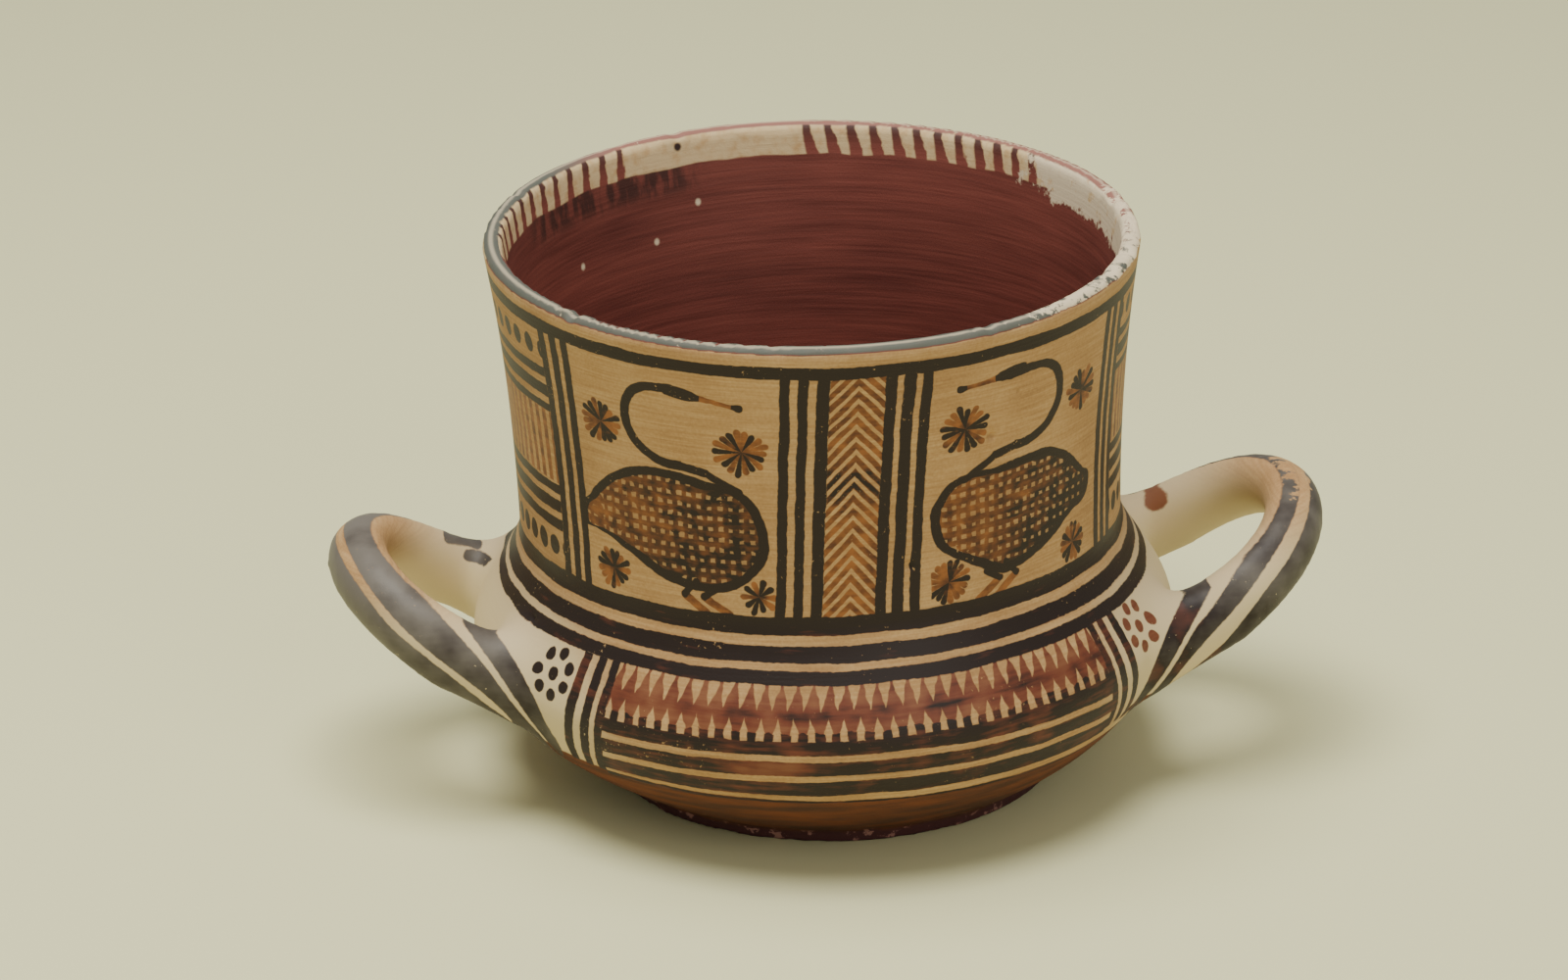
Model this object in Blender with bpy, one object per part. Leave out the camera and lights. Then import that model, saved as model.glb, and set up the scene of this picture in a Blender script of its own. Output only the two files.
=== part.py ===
"""A wheel-thrown clay cup with two loop handles that rise from its belly.

Everything is in metres with +Z up. The origin is the middle of the flat underside, the
handles lie along X and the front is towards -Y. The bowl was turned on a wheel, the two
handles were stuck to it while the clay was soft, and the whole sagged a little before it
was fired. It is one solid.
"""
import bpy
import bmesh
from math import cos, hypot, pi, radians, sin, sqrt
from mathutils import Matrix, Vector

# Bowl, from the foot up: how high each part of its outline is, and its outer radii
FOOT_HEIGHT = 0.0025
BELLY_HEIGHT = 0.0260
SHOULDER_HEIGHT = 0.0225
NECK_HEIGHT = 0.0560
FOOT_RADIUS = 0.0452
BELLY_RADIUS = 0.0679
NECK_RADIUS = 0.0580
MOUTH_RADIUS = 0.0624
WALL = 0.0036
FLOOR = 0.0055
LIP_ROUND = 0.42 * WALL

# Levels that follow from the heights
BELLY_LEVEL = FOOT_HEIGHT + BELLY_HEIGHT
NECK_LEVEL = BELLY_LEVEL + SHOULDER_HEIGHT
LIP_LEVEL = NECK_LEVEL + NECK_HEIGHT

# Handles, right (1) and left (-1) where they differ: how far each stands out from the
# belly, how far its roots are below the widest level and beside its middle, how far its
# tip rises above them, and how much higher the top of its band is at the roots. The fillet
# at a root runs further down the belly than up it, by the share ROOT_TAIL.
RIGHT = 1
LEFT = -1
HANDLE_REACH = {RIGHT: 0.0301, LEFT: 0.0270}
ROOT_DROP = {RIGHT: 0.0053, LEFT: 0.0022}
ROOT_SPREAD = {RIGHT: 0.0254, LEFT: 0.0229}
HANDLE_RISE = {RIGHT: 0.0213, LEFT: 0.0208}
ROOT_WIDENING = {RIGHT: 0.0055, LEFT: 0.0045}
BAND_HEIGHT = 0.0126
BAND_THICKNESS = 0.0108
ROOT_FILLET = 0.0070
ROOT_TAIL = 0.8
ROOT_LEVELLING = 0.6
LOOP_SQUARENESS = 0.68

# Sag of the soft clay: the bowl leans to the left, and the lip dips at the front
LEAN = radians(1.8)
LEAN_AZIMUTH = radians(172)
LEAN_FADE = 0.020
LIP_DIP = 0.0021
LIP_DIP_AZIMUTH = radians(-70)

# Fineness of the mesh
SEGMENTS = 64
BELLY_STEPS = 8
SHOULDER_STEPS = 8
NECK_STEPS = 7
SECTION_SIDES = 16
HANDLE_STATIONS = 27
FILLET_STEPS = 5
RUN_STEPS = 8
SLOPE_STEP = 0.0005
ROOT_SINK = 0.0004
WELD = 0.000005
SMOOTH_ANGLE = radians(40)


def bowl_radius(level):
    """Outer radius of the bowl at a level: bulging belly, hollow shoulder, flared neck."""
    if level < BELLY_LEVEL:
        share = (BELLY_LEVEL - level) / BELLY_HEIGHT
        return BELLY_RADIUS - (BELLY_RADIUS - FOOT_RADIUS) * share ** 2
    if level < NECK_LEVEL:
        share = (level - BELLY_LEVEL) / SHOULDER_HEIGHT
        return BELLY_RADIUS - (BELLY_RADIUS - NECK_RADIUS) * (3 * share ** 2 - 2 * share ** 3)
    share = (level - NECK_LEVEL) / NECK_HEIGHT
    return NECK_RADIUS + (MOUTH_RADIUS - NECK_RADIUS) * share ** 2


def levels(low, high, count):
    """Evenly spaced levels from low to high, both included."""
    return [low + (high - low) * step / (count - 1) for step in range(count)]


def wall_levels():
    """The levels that the bowl's outline is read at, closer together where it curves."""
    belly = levels(FOOT_HEIGHT, BELLY_LEVEL, BELLY_STEPS)
    shoulder = levels(BELLY_LEVEL, NECK_LEVEL, SHOULDER_STEPS)
    neck = levels(NECK_LEVEL, LIP_LEVEL - LIP_ROUND, NECK_STEPS)
    return belly + shoulder[1:] + neck[1:]


def outer_profile():
    """Radius and height from the middle of the underside up to the top of the lip."""
    edge = LIP_LEVEL - LIP_ROUND
    lip = bowl_radius(edge) - LIP_ROUND
    points = [(0.0, 0.0), (FOOT_RADIUS, 0.0)]
    points += [(bowl_radius(level), level) for level in wall_levels()]
    points += [(lip + LIP_ROUND * cos(turn), edge + LIP_ROUND * sin(turn))
               for turn in (radians(30), radians(60), radians(90))]
    return points + [(0.0, LIP_LEVEL)]


def hollow_profile():
    """The space inside: the wall set in by its thickness, and a lip rounded at its inside."""
    edge = LIP_LEVEL - LIP_ROUND
    points = [(0.0, FLOOR)]
    for level in wall_levels():
        rise = bowl_radius(level + SLOPE_STEP) - bowl_radius(level - SLOPE_STEP)
        slope = rise / (2 * SLOPE_STEP)
        inward = WALL / sqrt(1 + slope ** 2)
        height = level + inward * slope
        if FLOOR + WALL / 4 < height < edge:
            points.append((bowl_radius(level) - inward, height))
    inside = bowl_radius(edge) - WALL
    points += [(inside + LIP_ROUND * (1 - cos(turn)), edge + LIP_ROUND * sin(turn))
               for turn in (0.0, radians(45), radians(90))]
    above = LIP_LEVEL + WALL
    return points + [(points[-1][0], above), (0.0, above)]


def new_object(name, clay):
    """Put what was built in a bmesh into a new object of the scene."""
    mesh = bpy.data.meshes.new(name)
    bmesh.ops.recalc_face_normals(clay, faces=clay.faces)
    clay.to_mesh(mesh)
    clay.free()
    thing = bpy.data.objects.new(name, mesh)
    bpy.context.collection.objects.link(thing)
    return thing


def turned(name, profile):
    """A solid turned about Z from points that start and end on the axis."""
    clay = bmesh.new()
    points = [clay.verts.new((radius, 0.0, height)) for radius, height in profile]
    edges = [clay.edges.new(pair) for pair in zip(points, points[1:])]
    bmesh.ops.spin(clay, geom=points + edges, axis=(0, 0, 1), cent=(0, 0, 0),
                   angle=2 * pi, steps=SEGMENTS, use_merge=True)
    bmesh.ops.remove_doubles(clay, verts=clay.verts, dist=WELD)
    return new_object(name, clay)


def root_distance(side):
    """How far from the plane X = 0 the belly's wall is where a handle starts."""
    return sqrt(BELLY_RADIUS ** 2 - ROOT_SPREAD[side] ** 2)


def handle_run(side):
    """How far the handle's middle line runs out from its roots to its tip."""
    return BELLY_RADIUS + HANDLE_REACH[side] - BAND_THICKNESS / 2 - root_distance(side)


def handle_point(side, turn):
    """A point of the handle's middle line: turn runs from -90 to 90 degrees, tip at 0."""
    outward = max(0.0, cos(turn)) ** LOOP_SQUARENESS
    along = root_distance(side) + handle_run(side) * outward
    return Vector((side * along, side * ROOT_SPREAD[side] * sin(turn),
                   BELLY_LEVEL - ROOT_DROP[side] + HANDLE_RISE[side] * outward))


def wall_gap(point):
    """How far a point is outside the bowl's outer face, negative when it is inside."""
    return hypot(point.x, point.y) - bowl_radius(point.z)


def onto_wall(point, depth):
    """The point moved straight in or out until it lies at a depth under the outer face."""
    flat = Vector((point.x, point.y, 0)).normalized() * (bowl_radius(point.z) - depth)
    return Vector((flat.x, flat.y, point.z))


def run_to_wall(point, direction):
    """Where a straight line from the point meets the bowl's outer face."""
    for _ in range(RUN_STEPS):
        point = point + direction * wall_gap(point)
    return point


def root_rings(ring, backward):
    """Rings that carry the band's last ring onto the wall through a hollow fillet."""
    centre = run_to_wall(sum(ring, Vector()) / len(ring), backward)
    corners = [run_to_wall(point, backward) for point in ring]
    feet = []
    for corner in corners:
        away = (corner - centre).normalized()
        reach = ROOT_FILLET * (1 + ROOT_TAIL * max(0.0, -away.z) ** 2)
        feet.append(onto_wall(corner + away * reach, ROOT_SINK))
    rings = []
    for step in range(1, FILLET_STEPS + 1):
        share = step / FILLET_STEPS
        rings.append([start * (1 - share) ** 2 + corner * 2 * share * (1 - share)
                      + foot * share ** 2 for start, corner, foot in zip(ring, corners, feet)])
    return rings + [[onto_wall(foot, 2 * WALL) for foot in feet]]


def handle_rings(side):
    """The band's cross-sections from one sunk end, round the loop, to the other."""
    line = [handle_point(side, radians(turn)) for turn in levels(-90, 90, HANDLE_STATIONS)]
    upward = Vector((-side * HANDLE_RISE[side], 0, handle_run(side))).normalized()
    rings = []
    headings = []
    for before, point, after in zip(line, line[1:], line[2:]):
        if wall_gap(point) < ROOT_FILLET:
            continue
        forward = (after - before).normalized()
        headings.append(forward)
        across = forward.cross(upward).normalized()
        outward = (point.z - BELLY_LEVEL + ROOT_DROP[side]) / HANDLE_RISE[side]
        widening = ROOT_WIDENING[side] * (1 - outward) ** 2
        height = BAND_HEIGHT + widening
        middle = point + upward * (widening / 2)
        corners = [2 * pi * corner / SECTION_SIDES for corner in range(SECTION_SIDES)]
        rings.append([middle + across * (BAND_THICKNESS / 2 * cos(corner))
                      + upward * (height / 2 * sin(corner)) for corner in corners])
    levelled = Vector((1, 1, ROOT_LEVELLING))
    start = root_rings(rings[0], -headings[0] * levelled)
    end = root_rings(rings[-1], headings[-1] * levelled)
    return start[::-1] + rings + end


def handle(name, side):
    """A flat band of clay bent into a loop, with both ends sunk in the belly's wall."""
    clay = bmesh.new()
    rings = [[clay.verts.new(point) for point in ring] for ring in handle_rings(side)]
    for low, high in zip(rings, rings[1:]):
        for corner in range(SECTION_SIDES):
            following = (corner + 1) % SECTION_SIDES
            clay.faces.new((low[corner], low[following], high[following], high[corner]))
    caps = [clay.faces.new(rings[0]), clay.faces.new(rings[-1])]
    bmesh.ops.poke(clay, faces=caps)
    return new_object(name, clay)


def combine(target, other, operation):
    """Join or cut the target with another solid, which is only a guide."""
    other.hide_render = True
    other.display_type = "WIRE"
    boolean = target.modifiers.new(other.name, "BOOLEAN")
    boolean.operation = operation
    boolean.solver = "EXACT"
    boolean.object = other


def sagged(point):
    """Where a point of the true shape came to rest after the clay sagged."""
    share = max(0.0, (point.z - NECK_LEVEL) / NECK_HEIGHT)
    towards_dip = point.x * cos(LIP_DIP_AZIMUTH) + point.y * sin(LIP_DIP_AZIMUTH)
    drop = LIP_DIP * share ** 2 * towards_dip / MOUTH_RADIUS
    fade = min(1.0, max(0.0, point.z / LEAN_FADE))
    lean_axis = Vector((-sin(LEAN_AZIMUTH), cos(LEAN_AZIMUTH), 0))
    turn = LEAN * (3 * fade ** 2 - 2 * fade ** 3)
    return Matrix.Rotation(turn, 3, lean_axis) @ (point - Vector((0, 0, drop)))


def clay_material():
    """Buff clay under dark slip, as one mean colour."""
    material = bpy.data.materials.new("painted_clay")
    material.use_nodes = True
    shader = material.node_tree.nodes["Principled BSDF"]
    shader.inputs["Base Color"].default_value = (0.36, 0.22, 0.12, 1.0)
    shader.inputs["Roughness"].default_value = 0.55
    shader.inputs["Metallic"].default_value = 0.0
    return material


def build_cup():
    """Turn the bowl, stick the handles on, hollow it out and let it sag."""
    solid = turned("solid", outer_profile())
    combine(solid, handle("handle_right", RIGHT), "UNION")
    combine(solid, handle("handle_left", LEFT), "UNION")
    combine(solid, turned("hollow", hollow_profile()), "DIFFERENCE")
    solid.hide_render = True
    solid.display_type = "WIRE"
    evaluated = solid.evaluated_get(bpy.context.evaluated_depsgraph_get())
    mesh = bpy.data.meshes.new_from_object(evaluated)
    mesh.name = "cup"
    for vertex in mesh.vertices:
        vertex.co = sagged(vertex.co)
    mesh.shade_smooth()
    mesh.set_sharp_from_angle(angle=SMOOTH_ANGLE)
    mesh.materials.clear()
    mesh.materials.append(clay_material())
    cup = bpy.data.objects.new("cup", mesh)
    bpy.context.collection.objects.link(cup)
    for guide in [thing for thing in bpy.data.objects if thing is not cup]:
        bpy.data.objects.remove(guide)
    return cup


for thing in list(bpy.data.objects):
    bpy.data.objects.remove(thing)
build_cup()
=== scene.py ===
"""A painted clay cup with two loop handles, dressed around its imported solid.

The clay starts as a copy of the solid, made finer, trued on the wheel's axis and worn a
little. The painting is worked out by the materials' nodes, in millimetres round and up the
cup as it was before the soft clay sagged.
"""
from math import cos, degrees, hypot, pi, radians, sin, sqrt

import bpy
import numpy as np
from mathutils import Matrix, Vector, kdtree, noise

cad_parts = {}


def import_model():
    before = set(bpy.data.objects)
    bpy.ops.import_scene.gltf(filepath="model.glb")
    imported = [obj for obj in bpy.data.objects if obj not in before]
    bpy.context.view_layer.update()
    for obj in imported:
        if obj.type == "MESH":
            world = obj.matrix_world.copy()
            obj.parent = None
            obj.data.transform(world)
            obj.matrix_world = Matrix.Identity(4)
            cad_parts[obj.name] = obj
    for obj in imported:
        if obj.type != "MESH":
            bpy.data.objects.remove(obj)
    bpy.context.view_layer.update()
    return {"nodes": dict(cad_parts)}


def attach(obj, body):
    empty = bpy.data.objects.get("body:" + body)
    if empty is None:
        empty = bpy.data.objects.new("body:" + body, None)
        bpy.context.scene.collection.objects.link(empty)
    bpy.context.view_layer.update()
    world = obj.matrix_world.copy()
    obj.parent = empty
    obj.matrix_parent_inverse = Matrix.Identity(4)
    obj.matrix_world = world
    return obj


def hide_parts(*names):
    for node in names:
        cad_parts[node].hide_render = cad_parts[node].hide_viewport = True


# Sizes of the turned bowl, in metres, the same as in the solid
FOOT_HEIGHT = 0.0025
BELLY_HEIGHT = 0.0260
SHOULDER_HEIGHT = 0.0225
NECK_HEIGHT = 0.0560
FOOT_RADIUS = 0.0452
BELLY_RADIUS = 0.0679
NECK_RADIUS = 0.0580
MOUTH_RADIUS = 0.0624
WALL = 0.0036
FLOOR = 0.0055
LIP_ROUND = 0.42 * WALL
BELLY_LEVEL = FOOT_HEIGHT + BELLY_HEIGHT
NECK_LEVEL = BELLY_LEVEL + SHOULDER_HEIGHT
LIP_LEVEL = NECK_LEVEL + NECK_HEIGHT

# The edge under the foot, worn round
FOOT_ROUND = 0.0010

# Handles, right (1) and left (-1)
RIGHT = 1
LEFT = -1
HANDLE_REACH = {RIGHT: 0.0301, LEFT: 0.0270}
ROOT_DROP = {RIGHT: 0.0053, LEFT: 0.0022}
ROOT_SPREAD = {RIGHT: 0.0254, LEFT: 0.0229}
HANDLE_RISE = {RIGHT: 0.0213, LEFT: 0.0208}
BAND_THICKNESS = 0.0108
LOOP_SQUARENESS = 0.68

# Sag of the soft clay
LEAN = radians(1.8)
LEAN_AZIMUTH = radians(172)
LEAN_FADE = 0.020
LIP_DIP = 0.0021
LIP_DIP_AZIMUTH = radians(-70)

# Fineness of the clay and of its turned outline, in metres. A point nearer the outline than
# TRUE_WITHIN is drawn onto it, and one farther off than FREE_BEYOND belongs to a handle
CLAY_GRAIN = 0.0014
OUTLINE_STEP = 0.0001
TRUE_WITHIN = 0.00025
FREE_BEYOND = 0.0007
LEAST_RADIUS = 1e-9
# Smoothing of the handles: they shrink and swell in turn, and so keep their size
SMOOTH_ROUNDS = 14
SMOOTH_SHRINK = 0.50
SMOOTH_SWELL = -0.52
# Smoothing of the creases at the handles' joints: how wide, how often and how strong
JOINT_SPREAD = 5
JOINT_ROUNDS = 34
JOINT_GAIN = 4.4
JOINT_STRENGTH = 0.5
# Unevenness that the hand left, its scale, and the level below which it fades out
UNEVENNESS = 0.00022
UNEVEN_SCALE = 38.0
EVEN_BELOW = 0.004

# Millimetres in a metre, and the radius that "round the cup" is measured at
MM = 1000.0
ROUND_RADIUS = 59.0
HALF_TURN = pi * ROUND_RADIUS

# Pits in the outer wall: place round the cup, level, half width and depth, in millimetres
PITS = [(25.5, 84.0, 1.2, 0.8), (9.0, 60.5, 1.1, 0.7), (31.0, 92.0, 0.6, 0.4),
        (-33.5, 73.3, 0.7, 0.3), (-41.0, 66.0, 0.6, 0.3), (-71.0, 41.0, 0.8, 0.4)]
# Chips in the lip: degrees round the cup, half width in degrees and depth in millimetres
LIP_CHIPS = [(-161.0, 1.6, 0.3), (-53.0, 1.3, 0.7), (58.0, 2.4, 0.7), (69.0, 2.0, 0.9),
             (81.0, 3.0, 0.8), (96.0, 2.2, 0.6), (24.0, 1.4, 0.4), (-118.0, 1.5, 0.4)]
# Faces are split as far round a pit or a chip as this many of its half widths
PIT_REACH = 2.2
# How far under the lip faces are split, in millimetres, and how far chips reach, in metres
SPLIT_UNDER_LIP = 4.5
CHIP_FADE = 0.0035
# The rough part of the lip: degrees round the cup, strength, scale and depth in metres
ROUGH_MIDDLE = 82
ROUGH_SPREAD = 30
ROUGH_PEAK = 1.6
ROUGH_SCALE = 900.0
ROUGH_DEPTH = 0.0005

# The zones' materials, in their order on the cup, where the zones begin, and how far a
# handle stands out from the bowl at least
NECK_ZONE = 0
BELLY_ZONE = 1
INSIDE_ZONE = 2
NECK_ZONE_LEVEL = 0.0501
LIP_ZONE_LEVEL = 0.1046
HANDLE_STANDS_OUT = 0.0015

# Painted bands that go round the cup: level and half width, in millimetres
LIP_BAND = (101.9, 1.35)
SHOULDER_BAND = (49.95, 1.75)
SHOULDER_TILT = 0.35
# Millimetres round the cup to the end of the tongues and to the start of the handles' paint
TONGUES_END = 45.8
HANDLE_PAINT_START = 55.0
# Taken from a painted shape's depth where the shape has to be hidden
HIDDEN = 20


def bowl_radius(level):
    """Outer radius of the bowl at a level: bulging belly, hollow shoulder, flared neck."""
    if level < BELLY_LEVEL:
        share = (BELLY_LEVEL - level) / BELLY_HEIGHT
        return BELLY_RADIUS - (BELLY_RADIUS - FOOT_RADIUS) * share ** 2
    if level < NECK_LEVEL:
        share = (level - BELLY_LEVEL) / SHOULDER_HEIGHT
        return BELLY_RADIUS - (BELLY_RADIUS - NECK_RADIUS) * (3 * share ** 2 - 2 * share ** 3)
    share = (level - NECK_LEVEL) / NECK_HEIGHT
    return NECK_RADIUS + (MOUTH_RADIUS - NECK_RADIUS) * share ** 2


def sagged(points):
    """Where points of the true shape came to rest after the clay sagged, as an array."""
    share = np.maximum(0, (points[:, 2] - NECK_LEVEL) / NECK_HEIGHT)
    towards_dip = points[:, 0] * cos(LIP_DIP_AZIMUTH) + points[:, 1] * sin(LIP_DIP_AZIMUTH)
    drop = LIP_DIP * share ** 2 * towards_dip / MOUTH_RADIUS
    fade = np.clip(points[:, 2] / LEAN_FADE, 0, 1)
    turn = (LEAN * (3 * fade ** 2 - 2 * fade ** 3))[:, None]
    axis = np.array([-sin(LEAN_AZIMUTH), cos(LEAN_AZIMUTH), 0])
    lowered = points - np.outer(drop, (0, 0, 1))
    along = (lowered @ axis)[:, None] * axis
    return (lowered * np.cos(turn) + np.cross(axis, lowered) * np.sin(turn)
            + along * (1 - np.cos(turn)))


def unsagged(points):
    """The true shape's points that came to rest where these are."""
    thrown = points.copy()
    for _ in range(6):
        thrown += points - sagged(thrown)
    return thrown


def turned_outline():
    """Close-set points of the bowl's outline, with 1 where they face the inside."""
    edge = LIP_LEVEL - LIP_ROUND
    middle = FOOT_RADIUS - FOOT_ROUND
    turns = np.linspace(0, pi / 2, 14)
    outline = [(radius, 0.0, 0) for radius in np.arange(0, middle, OUTLINE_STEP)]
    outline += [(middle + FOOT_ROUND * sin(t), FOOT_ROUND * (1 - cos(t)), 0) for t in turns]
    outline += [(FOOT_RADIUS, level, 0)
                for level in np.arange(FOOT_ROUND, FOOT_HEIGHT, OUTLINE_STEP)]
    levels = np.arange(FOOT_HEIGHT, edge, OUTLINE_STEP)
    outline += [(bowl_radius(level), level, 0) for level in levels]
    outer_lip = bowl_radius(edge) - LIP_ROUND
    inner_lip = bowl_radius(edge) - WALL + LIP_ROUND
    outline += [(outer_lip + LIP_ROUND * cos(t), edge + LIP_ROUND * sin(t), 0) for t in turns]
    outline += [(inner_lip - LIP_ROUND * cos(t), edge + LIP_ROUND * sin(t), 1) for t in turns]
    hollow = []
    for level in levels:
        slope = (bowl_radius(level + OUTLINE_STEP) - bowl_radius(level - OUTLINE_STEP)) \
            / (2 * OUTLINE_STEP)
        inward = WALL / sqrt(1 + slope ** 2)
        height = level + inward * slope
        if FLOOR + WALL / 4 < height < edge:
            hollow.append((bowl_radius(level) - inward, height, 1))
    outline += hollow
    outline += [(radius, FLOOR, 1) for radius in np.arange(0, hollow[0][0], OUTLINE_STEP)]
    return outline


def coordinates(mesh):
    """The mesh's vertices as an array."""
    flat = np.zeros(len(mesh.vertices) * 3)
    mesh.vertices.foreach_get("co", flat)
    return flat.reshape(-1, 3)


def edge_ends(mesh):
    """The two vertices of each edge, as an array."""
    flat = np.zeros(len(mesh.edges) * 2, dtype=np.int64)
    mesh.edges.foreach_get("vertices", flat)
    return flat.reshape(-1, 2)


def neighbours_mean(values, edges, counts):
    """The mean of each point's neighbours along the edges."""
    total = np.zeros_like(values)
    np.add.at(total, edges[:, 0], values[edges[:, 1]])
    np.add.at(total, edges[:, 1], values[edges[:, 0]])
    return total / counts[:, None]


def round_places(points):
    """Millimetres round the cup from the front, towards the right handle, for each point."""
    return np.arctan2(points[:, 0], -points[:, 1]) * ROUND_RADIUS


def fine_clay(solid):
    """A finer, evenly meshed copy of the cup's solid."""
    clay = bpy.data.objects.new("cup_body", solid.data.copy())
    bpy.context.collection.objects.link(clay)
    clay.data.materials.clear()
    bpy.ops.object.select_all(action="DESELECT")
    clay.select_set(True)
    bpy.context.view_layer.objects.active = clay
    bpy.ops.object.mode_set(mode="EDIT")
    bpy.ops.mesh.select_all(action="SELECT")
    bpy.ops.mesh.remove_doubles(threshold=0.00001)
    bpy.ops.object.mode_set(mode="OBJECT")
    finer = clay.modifiers.new("finer", "REMESH")
    finer.mode = "VOXEL"
    finer.voxel_size = CLAY_GRAIN
    bpy.ops.object.modifier_apply(modifier=finer.name)
    split_at_damage(clay)
    return clay


def split_at_damage(clay):
    """Split the faces at the pits and at the lip's chips, so that they come out crisp."""
    mesh = clay.data
    points = unsagged(coordinates(mesh)) * MM
    around = round_places(points)
    outside = np.hypot(points[:, 0], points[:, 1]) > (NECK_RADIUS - WALL / 2) * MM
    near = np.zeros(len(points), dtype=bool)
    for place, level, half, _ in PITS:
        near |= outside & (np.hypot(around - place, points[:, 2] - level) < half * PIT_REACH)
    on_lip = points[:, 2] > (LIP_LEVEL * MM - SPLIT_UNDER_LIP)
    for place, half, _ in LIP_CHIPS:
        near |= on_lip & (np.abs(degrees(1) * around / ROUND_RADIUS - place) < half * PIT_REACH)
    bpy.ops.object.mode_set(mode="EDIT")
    bpy.ops.mesh.select_all(action="DESELECT")
    bpy.ops.mesh.select_mode(type="FACE")
    bpy.ops.object.mode_set(mode="OBJECT")
    for face in mesh.polygons:
        face.select = bool(near[list(face.vertices)].all())
    bpy.ops.object.mode_set(mode="EDIT")
    bpy.ops.mesh.subdivide(number_cuts=2)
    bpy.ops.object.mode_set(mode="OBJECT")


def trued(thrown, edges):
    """The points drawn onto the turned outline, the handles smoothed, and each point's facts."""
    outline = turned_outline()
    tree = kdtree.KDTree(len(outline))
    for place, (radius, height, _) in enumerate(outline):
        tree.insert((radius, height, 0), place)
    tree.balance()
    radii = np.hypot(thrown[:, 0], thrown[:, 1])
    found = [tree.find((radius, height, 0)) for radius, height in zip(radii, thrown[:, 2])]
    nearest = np.array([outline[place] for _, place, _ in found])
    gaps = np.array([gap for _, _, gap in found])
    near_foot = np.hypot(radii - FOOT_RADIUS, thrown[:, 2]) < FOOT_ROUND
    gaps[near_foot] = 0
    free = np.clip((gaps - TRUE_WITHIN) / (FREE_BEYOND - TRUE_WITHIN), 0, 1)[:, None]
    scale = (nearest[:, 0] / np.maximum(radii, LEAST_RADIUS))[:, None]
    target = np.hstack([thrown[:, :2] * scale, nearest[:, 1:2]])
    counts = np.bincount(edges.ravel(), minlength=len(thrown)).astype(float)
    smooth = thrown.copy()
    for _ in range(SMOOTH_ROUNDS):
        for factor in (SMOOTH_SHRINK, SMOOTH_SWELL):
            smooth += (neighbours_mean(smooth, edges, counts) - smooth) * factor
    points = eased(target * (1 - free) + smooth * free, free, edges, counts)
    return points, nearest[:, 2], gaps * (radii > nearest[:, 0])


def eased(points, free, edges, counts):
    """The points with the creases where the handles meet the bowl smoothed by a wet finger."""
    spread = (free > 0.5).astype(float)
    for _ in range(JOINT_SPREAD):
        spread = neighbours_mean(spread, edges, counts)
    share = np.clip(JOINT_GAIN * spread * (1 - spread), 0, 1) * JOINT_STRENGTH
    for _ in range(JOINT_ROUNDS):
        points = points + (neighbours_mean(points, edges, counts) - points) * share
    return points


def dented(points):
    """The points with the hand's unevenness, pits in the wall and chips out of the lip."""
    worked = points.copy()
    uneven = [(noise.noise(Vector(point) * UNEVEN_SCALE) - 1) / 2 for point in points]
    fade = np.clip(points[:, 2] / EVEN_BELOW, 0, 1)
    inward = np.array(uneven) * UNEVENNESS * fade
    radii = np.maximum(np.hypot(points[:, 0], points[:, 1]), 0.001)
    around = round_places(points)
    outside = radii > NECK_RADIUS - WALL / 2
    for place, level, half, depth in PITS:
        share = np.hypot(around - place, points[:, 2] * MM - level) / half
        inward -= np.maximum(0, 1 - share ** 2) ** 1.5 * depth / MM * outside
    worked[:, :2] *= (1 + inward / radii)[:, None]
    angle = around / ROUND_RADIUS * degrees(1)
    high = np.clip((points[:, 2] - LIP_LEVEL + CHIP_FADE) / CHIP_FADE, 0, 1)
    for place, half, depth in LIP_CHIPS:
        share = np.abs(angle - place) / half
        worked[:, 2] -= np.maximum(0, 1 - share ** 2) * high ** 2 * depth / MM
    from_middle = np.abs(angle - ROUGH_MIDDLE)
    rough_place = np.clip(ROUGH_PEAK - from_middle / ROUGH_SPREAD, 0, 1) * high
    rough = [max(0.0, noise.noise(Vector(point) * ROUGH_SCALE)) for point in points]
    worked[:, 2] -= np.array(rough) * rough_place * ROUGH_DEPTH
    return worked


def throw_cup(solid):
    """The clay body of the cup, with its true shape kept as an attribute for the painting."""
    clay = fine_clay(solid)
    mesh = clay.data
    points, inside, standing = trued(unsagged(coordinates(mesh)), edge_ends(mesh))
    kept = mesh.attributes.new("thrown", "FLOAT_VECTOR", "POINT")
    kept.data.foreach_set("vector", points.astype(np.float32).ravel())
    stand = mesh.attributes.new("standing_out", "FLOAT", "POINT")
    stand.data.foreach_set("value", standing.astype(np.float32))
    mesh.vertices.foreach_set("co", sagged(dented(points)).astype(np.float32).ravel())
    mesh.update()
    mesh.shade_smooth()
    zone_faces(mesh, points, inside)
    return clay


def zone_faces(mesh, points, inside):
    """Give each face the material of its zone: neck, belly and handles, or inside and lip."""
    for face in mesh.polygons:
        corners = list(face.vertices)
        height = points[corners, 2].mean()
        stands = hypot(*points[corners, :2].mean(axis=0)) - bowl_radius(height)
        if inside[corners].mean() > 0.5 or height > LIP_ZONE_LEVEL:
            face.material_index = INSIDE_ZONE
        elif height > NECK_ZONE_LEVEL and stands < HANDLE_STANDS_OUT:
            face.material_index = NECK_ZONE
        else:
            face.material_index = BELLY_ZONE


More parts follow.
